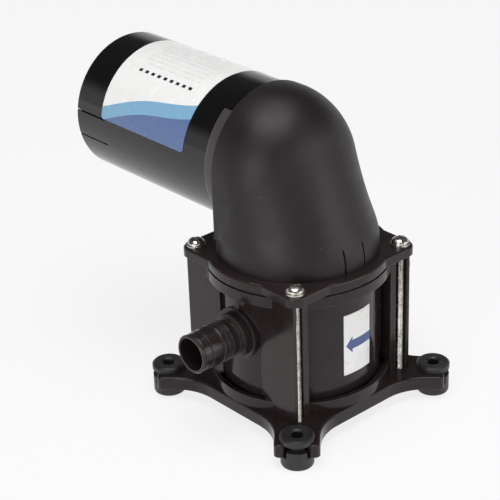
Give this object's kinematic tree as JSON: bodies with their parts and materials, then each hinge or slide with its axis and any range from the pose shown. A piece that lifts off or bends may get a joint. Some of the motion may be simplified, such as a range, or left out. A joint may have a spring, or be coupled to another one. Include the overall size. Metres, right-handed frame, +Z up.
{
  "type": "motor-driven diaphragm pump",
  "caption": "Electric diaphragm pump for bilge or shower drain: round body on a rubber-footed base, opposite hose barbs, elbow hood and horizontal motor.",
  "frame": {"origin": "centre of the four-hole mounting pattern, on the surface that the feet stand on", "axes": "+Z up, +Y along the motor shaft towards the motor's rear, -X towards the outlet barb, +X towards the inlet barb"},
  "size_m": [0.1442, 0.1945, 0.1656],
  "materials": {
    "body_plastic": "black glass-filled polyester moulding, semi-gloss, fine grain",
    "hood_plastic": "black moulding with a satin spark-eroded texture",
    "sleeve_plastic": "glossy black moulding",
    "rubber": "black moulded rubber, matt",
    "stainless": "machined stainless steel",
    "brass": "turned brass",
    "bronze": "oil-filled sintered bronze",
    "copper": "enamelled copper wire and copper segments",
    "plated_steel": "zinc-plated pressed steel",
    "die_cast": "die-cast aluminium, as cast",
    "ferrite": "sintered ferrite, ground faces",
    "bearing_steel": "ground bearing steel",
    "core_steel": "stacked electrical steel laminations",
    "carbon": "pressed carbon",
    "phenolic": "brown phenolic moulding",
    "nylon": "natural nylon moulding",
    "label_motor": "white printed film with plain blue bands, no lettering",
    "label_flow": "white printed film with a plain blue arrow"
  },
  "bodies": {
    "pump": {"base_plate": "body_plastic", "base_seal": "rubber", "grommet_back_right": "rubber", "grommet_back_left": "rubber", "grommet_front_left": "rubber", "grommet_front_right": "rubber", "pump_body": "body_plastic", "outlet_port": "body_plastic", "inlet_port": "body_plastic", "port_seals": "rubber", "valve_plate": "body_plastic", "inlet_keeper": "body_plastic", "outlet_keeper": "body_plastic", "keeper_screws": "stainless", "valve_plate_screws": "stainless", "main_diaphragm": "rubber", "top_plate": "body_plastic", "tie_washers": "stainless", "tie_screws": "stainless", "tie_nuts": "brass", "elbow_hood": "hood_plastic", "motor_mount_plate": "plated_steel", "motor_front_bell": "die_cast", "motor_mount_screws": "stainless", "front_bushing": "bronze", "motor_can": "plated_steel", "magnets": "ferrite", "carbon_brushes": "carbon", "brush_holders": "phenolic", "brush_springs": "plated_steel", "motor_rear_bell": "die_cast", "rear_bushing": "bronze", "motor_through_bolts": "stainless", "motor_sleeve": "sleeve_plastic", "rear_cap": "sleeve_plastic", "rear_cap_screws": "stainless", "cable_gland": "sleeve_plastic", "motor_label": "label_motor", "flow_label": "label_flow"},
    "rotor": {"motor_shaft": "bearing_steel", "armature_core": "core_steel", "windings": "copper", "commutator": "copper", "eccentric": "die_cast", "eccentric_set_screw": "stainless", "rod_bearing_inner_race": "bearing_steel", "crank_washer": "stainless", "crank_screw": "stainless"},
    "rod": {"connecting_rod": "nylon", "rod_bearing_outer_race": "bearing_steel", "rod_bearing_balls": "bearing_steel", "diaphragm_lower_plate": "nylon", "diaphragm_upper_plate": "nylon", "diaphragm_screw": "stainless"},
    "inlet_valve": {"inlet_flap": "rubber"},
    "outlet_valve": {"outlet_flap": "rubber"}
  },
  "joints": [
    {"name": "rotor_spin", "type": "hinge", "parent": "pump", "child": "rotor", "pos_m": [0, 0, 0.1271], "axis": [0, 1, 0], "continuous": true},
    {"name": "rod_turn", "type": "hinge", "parent": "rotor", "child": "rod", "pos_m": [0, 0, 0.1246], "axis": [0, 1, 0], "continuous": true, "deforming": ["main_diaphragm"]},
    {"name": "inlet_flap_hinge", "type": "hinge", "parent": "pump", "child": "inlet_valve", "pos_m": [0.0046, 0, 0.06635], "axis": [0, -1, 0], "range_deg": [0, 12], "stiffness_Nm_per_rad": 0.01, "springref_deg": -2.86},
    {"name": "outlet_flap_hinge", "type": "hinge", "parent": "pump", "child": "outlet_valve", "pos_m": [-0.0046, 0, 0.06005], "axis": [0, -1, 0], "range_deg": [0, 12], "stiffness_Nm_per_rad": 0.01, "springref_deg": -2.86}
  ],
  "couplings": [
    {"joint": "rod_turn", "follows": "rotor_spin", "ratio": -1}
  ]
}
